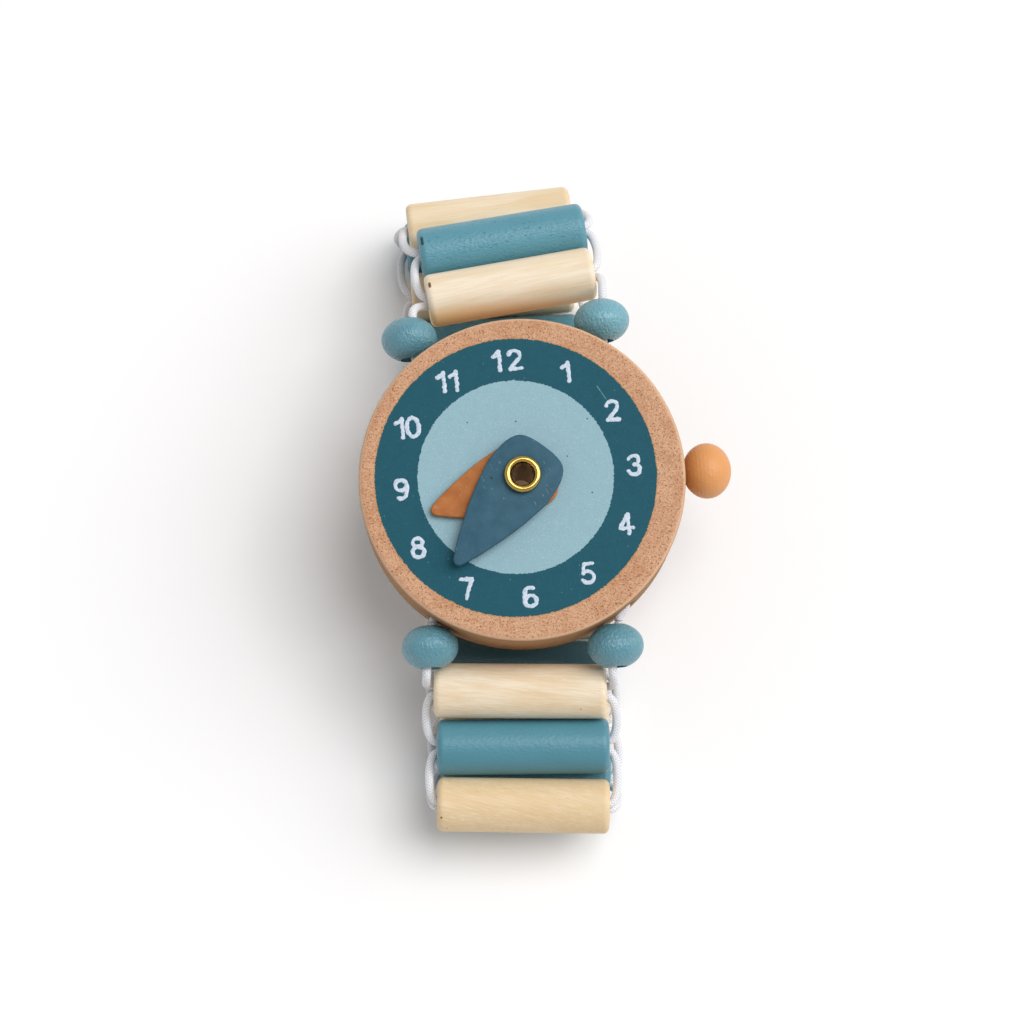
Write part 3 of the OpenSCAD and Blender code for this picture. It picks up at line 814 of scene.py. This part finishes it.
def in_band(v):
    """A direction without its part along X, which is across the band."""
    return np.array([0, v[1], v[2]])


ball_mid = {n: middle(n) for n in BALLS}
pair_top = (ball_mid["ball_top_left"] + ball_mid["ball_top_right"]) / 2
pair_bottom = (ball_mid["ball_bottom_left"] + ball_mid["ball_bottom_right"]) / 2
row = [pair_top, *bead_mid, pair_bottom]


def band_way(i):
    """Mean direction of the band at bead i, square to the bead."""
    a = unit(in_band(row[i + 2] - row[i + 1])) + unit(in_band(row[i + 1] - row[i]))
    return unit(a - bead_way[i] * (a @ bead_way[i]))


band = np.array([band_way(i) for i in range(len(BEADS))])


def strand(i, side, way, share):
    """Inside bead i: share 0 at the mouth, 1 in the middle, a quarter turn between them."""
    share = np.asarray(share)[:, None]
    q = share * np.pi / 2
    return (bead_mid[i] + bead_way[i] * side
            * ((BEAD_LEN / 2 - CHAMFER) * (1 - share) + END_GAP * share)
            + LACE_R * way * (band[i] * np.cos(q)
                              + np.cross(bead_way[i], band[i]) * side * np.sin(q)))


def mouth(i, side, way):
    """Where a strand leaves bead i at one side, towards the next bead or the last one."""
    return bead_mid[i] + bead_way[i] * side * BEAD_LEN / 2 + LACE_R * way * band[i]


def bend(a, b, c, d, t):
    """Cubic curve from a to d drawn towards b and c, at the shares t of its run."""
    t = np.asarray(t)[:, None]
    return a * (1 - t) ** 3 + b * 3 * t * (1 - t) ** 2 + c * 3 * t * t * (1 - t) + d * t ** 3


def loop_route(i, side):
    """Curve between the mouths of beads i and i + 1, whose drawing points share one level."""
    a, b = mouth(i, side, 1), mouth(i + 1, side, -1)
    out = unit(bead_way[i] + bead_way[i + 1]) * side
    level = max(a @ out, b @ out) + BULGE * BEND_REACH
    arch = bend(a, a + out * (level - a @ out), b + out * (level - b @ out), b,
                np.linspace(0.04, 0.96, ON_LOOP))
    inner = np.linspace(1, 0, IN_BEAD)
    return np.vstack([strand(i, side, 1, inner), arch, strand(i + 1, side, -1, inner[::-1])])


SIDES, TUBE_STEP, TURN_LEN = 20, 0.16 * MM, 2.6 * MM
# mean and swing of the tube's radius, as shares, and the ridges round it each way
MEAN_R, RIDGE, RIDGES = 0.96, 0.05, 3
ROUNDINGS = 3


def braid_tube(name, route, first, last):
    """Tube along a route. With a the angle round it and w the winding angle, its radius is
    R (mean + ridge cos(n (a + w)) cos(n (a - w)))."""
    p = resample(route, int(length_of(route) / TUBE_STEP))
    # each pass rounds the corners of the route a little
    for _ in range(ROUNDINGS):
        p[1:-1] = p[1:-1] * 0.5 + (p[:-2] + p[2:]) * 0.25
    way = np.gradient(p, axis=0)
    way[0], way[-1] = first, last
    way /= np.linalg.norm(way, axis=1, keepdims=True)
    # carry one cross direction along the tube, taking off what points along it
    u = np.empty_like(way)
    u[0] = unit(np.cross(way[0], [0.3, 0.5, 0.8]))
    for k in range(1, len(way)):
        u[k] = unit(u[k - 1] - way[k] * (u[k - 1] @ way[k]))
    v = np.cross(way, u)
    s = np.concatenate([[0], np.cumsum(np.linalg.norm(np.diff(p, axis=0), axis=1))])
    a = np.linspace(0, 2 * np.pi, SIDES, endpoint=False)
    wind = 2 * np.pi * s[:, None] / TURN_LEN
    ridge = np.cos(RIDGES * (a + wind)) * np.cos(RIDGES * (a - wind))
    r = ELASTIC_R * (MEAN_R + RIDGE * ridge)
    grid = p[:, None] + r[..., None] * (
        u[:, None] * np.cos(a)[:, None] + v[:, None] * np.sin(a)[:, None])
    piece = grid_mesh(name, grid)
    # the map runs along the tube in windings and once round it; the last column closes it
    uv = piece.data.uv_layers.new(name="braid")
    n, m = grid.shape[:2]
    loops = np.empty(len(piece.data.loops), np.int32)
    piece.data.loops.foreach_get("vertex_index", loops)
    rows, cols = loops // m, loops % m
    faces = np.arange(len(loops)) // 4
    wrap = (cols == 0) & (np.arange(len(loops)) < (n - 1) * m * 4) & ((faces % m) == m - 1)
    flat = np.stack([s[rows] / TURN_LEN, (cols + wrap * m) / m], -1)
    uv.data.foreach_set("uv", flat.ravel())
    return piece


BALL_D, BALL_LEN, BALL_BORE = 8.2 * MM, 6.6 * MM, 3.0 * MM
BALL_HALF = BALL_LEN / 2 * math.sqrt(1 - (BALL_BORE / BALL_D) ** 2)
# how far the end strands stand out of the balls, as a share, and where the case's strands
# start to curve towards them
LEAD, TIP_BEND, TIP_GAP = 1.12, 2.4 * MM, 0.12 * MM
PLAY = 0.15 * MM
BALL_SLACK = BALL_BORE / 2 - PLAY - ELASTIC_R
LACE_X = 13.6 * MM
EDGE_R = 0.9 * MM


def end_route(end, side):
    """Through the ball, round the bead's end and into the first or last bead."""
    ball = ball_mid[f"ball_{'top' if end > 0 else 'bottom'}_{'right' if side > 0 else 'left'}"]
    i = 0 if end > 0 else len(BEADS) - 1
    inn = float(np.clip(side * LACE_X - ball[0], -BALL_SLACK, BALL_SLACK))
    wish = bead_mid[i][0] + side * (BEAD_LEN / 2 + ELASTIC_R + PLAY) - ball[0]
    off = float(np.clip(wish, -BALL_SLACK, BALL_SLACK))
    share = np.linspace(-LEAD, 1, IN_BALL)[:, None]
    through = (ball + np.array([1.0, 0, 0]) * (inn * (1 - share) + off * (1 + share)) / 2
               + case_along * end * BALL_HALF * share)
    a, d, out = through[-1], mouth(i, side, -end), bead_way[i] * side
    beyond = side * (ball[0] + off - bead_mid[i][0]) - BEAD_LEN / 2
    aside = float(np.clip(ELASTIC_R + PLAY - beyond, 0, ELASTIC_R + PLAY + EDGE_R))
    reach = max(np.linalg.norm(d - a) * 0.4 - aside, 2 * ELASTIC_R)
    round_end = bend(a, a + case_along * end * reach + out * aside,
                     d + out * (BULGE + aside) * BEND_REACH, d,
                     np.linspace(0.06, 0.94, ROUND_END))
    inner = strand(i, side, -end, np.linspace(0, 1, IN_BEAD))
    return np.vstack([through, round_end, inner])


def case_route(side):
    """Straight through a bore of the case, curving at both ends to the mouths of the balls."""
    ends = []
    for end in (-1, 1):
        tip = end_route(end, side)[0] - case_along * end * TIP_GAP
        along = (tip - case_mid) @ case_along - end * TIP_BEND
        start = case_mid + np.array([1.0, 0, 0]) * side * LACE_X + case_along * along
        lead = case_along * end * TIP_BEND / 2
        ends.append(bend(start, start + lead, tip - lead, tip, np.linspace(0, 1, AT_TIP)))
    return np.vstack([ends[0][::-1], ends[1]])


YARNS = 6


def elastic_shader():
    """White yarns that wind both ways: the higher of sin(2 pi n (v + s)) and
    sin(2 pi n (v - s)) is the one on top."""
    s = Shader("braided_elastic", Roughness=0.85, Sheen_Weight=0.3)
    run_s, run_v, _ = s.parts(s.add("ShaderNodeUVMap", {"uv_map": "braid"}))
    phases = [(run_v * YARNS + run_s * (YARNS * way)) * (2 * math.pi) for way in (1, -1)]
    weave = run_s.math("MAXIMUM", *[phase.math("SINE", phase) for phase in phases])
    fuzz = s.noise(s.place(), 4000.0, 2.0)
    # the grey where the weave is low is painted shade in the grooves between the yarns
    s.set("Base Color", s.mix((weave * 0.5 + 0.5).limited(), paint("#c9cbd3"),
                              paint("#f1f1f4")))
    s.set("Normal", s.bump(weave * 0.6 + fuzz * 0.4, 0.06 * MM, 0.7))
    return s


elastic = elastic_shader()

routes = {f"elastic_loop_{i + 1}": [
    (loop_route(i, side), side * bead_way[i], -side * bead_way[i + 1]) for side in (-1, 1)
] for i in range(len(BEADS) - 1)}
for end, word, i in ((1, "top", 0), (-1, "bottom", len(BEADS) - 1)):
    routes[f"elastic_{word}_end"] = [
        (end_route(end, side), case_along * end, -side * bead_way[i]) for side in (-1, 1)]
routes["elastic_case"] = [(case_route(side), case_along, case_along) for side in (-1, 1)]
for name, pair in routes.items():
    piece = join(name.replace("elastic", "braid"),
                 [braid_tube(f"{name}_{k}", *r) for k, r in enumerate(pair)])
    piece.data.materials.append(elastic.material)
    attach(piece, body_of[name])
    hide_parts(name)
print("elastic pieces", len(routes))

# %% [markdown]
# ## Floor and light
# The watch lies on a plain white surface. Two wide lamps, one high and one lower on the
# right, make the soft shadow on the left. An even white surround fills the rest, so that
# colours come out about as written.

# %% Floor, lamps and surround
FLOOR_SIZE, SURROUND = 4, 0.43
floor_z = cad_box[0][2]
bpy.ops.mesh.primitive_plane_add(size=FLOOR_SIZE, location=(0, 0, floor_z))
floor = bpy.context.object
floor.name = "floor"
floor_shader = Shader("floor_white", Roughness=0.9, Specular_IOR_Level=0.1)
floor_shader.set("Base Color", (0.97, 0.965, 0.97, 1))
floor.data.materials.append(floor_shader.material)

world = bpy.data.worlds.new("surround")
bpy.context.scene.world = world
world.use_nodes = True
background = world.node_tree.nodes["Background"]
background.inputs["Color"].default_value = (1.0, 1.0, 1.0, 1)
background.inputs["Strength"].default_value = SURROUND

# name, strength, width in degrees, colour, direction towards the lamp
LAMPS = [("skylight", 1.55, 38, (1.0, 0.995, 0.99), (0.36, 0.17, 1.0)),
         ("window", 0.85, 40, (1.0, 0.99, 0.985), (0.84, 0.14, 0.72))]
for name, energy, width, colour, towards in LAMPS:
    lamp = bpy.data.lights.new(name, "SUN")
    lamp.energy, lamp.angle, lamp.color = energy, math.radians(width), colour
    holder = bpy.data.objects.new(name, lamp)
    bpy.context.scene.collection.objects.link(holder)
    holder.rotation_euler = Vector(towards).to_track_quat("Z", "Y").to_euler()

bpy.context.scene.view_settings.view_transform = "Standard"
print("floor at", round(floor_z * 1000, 2), "mm")
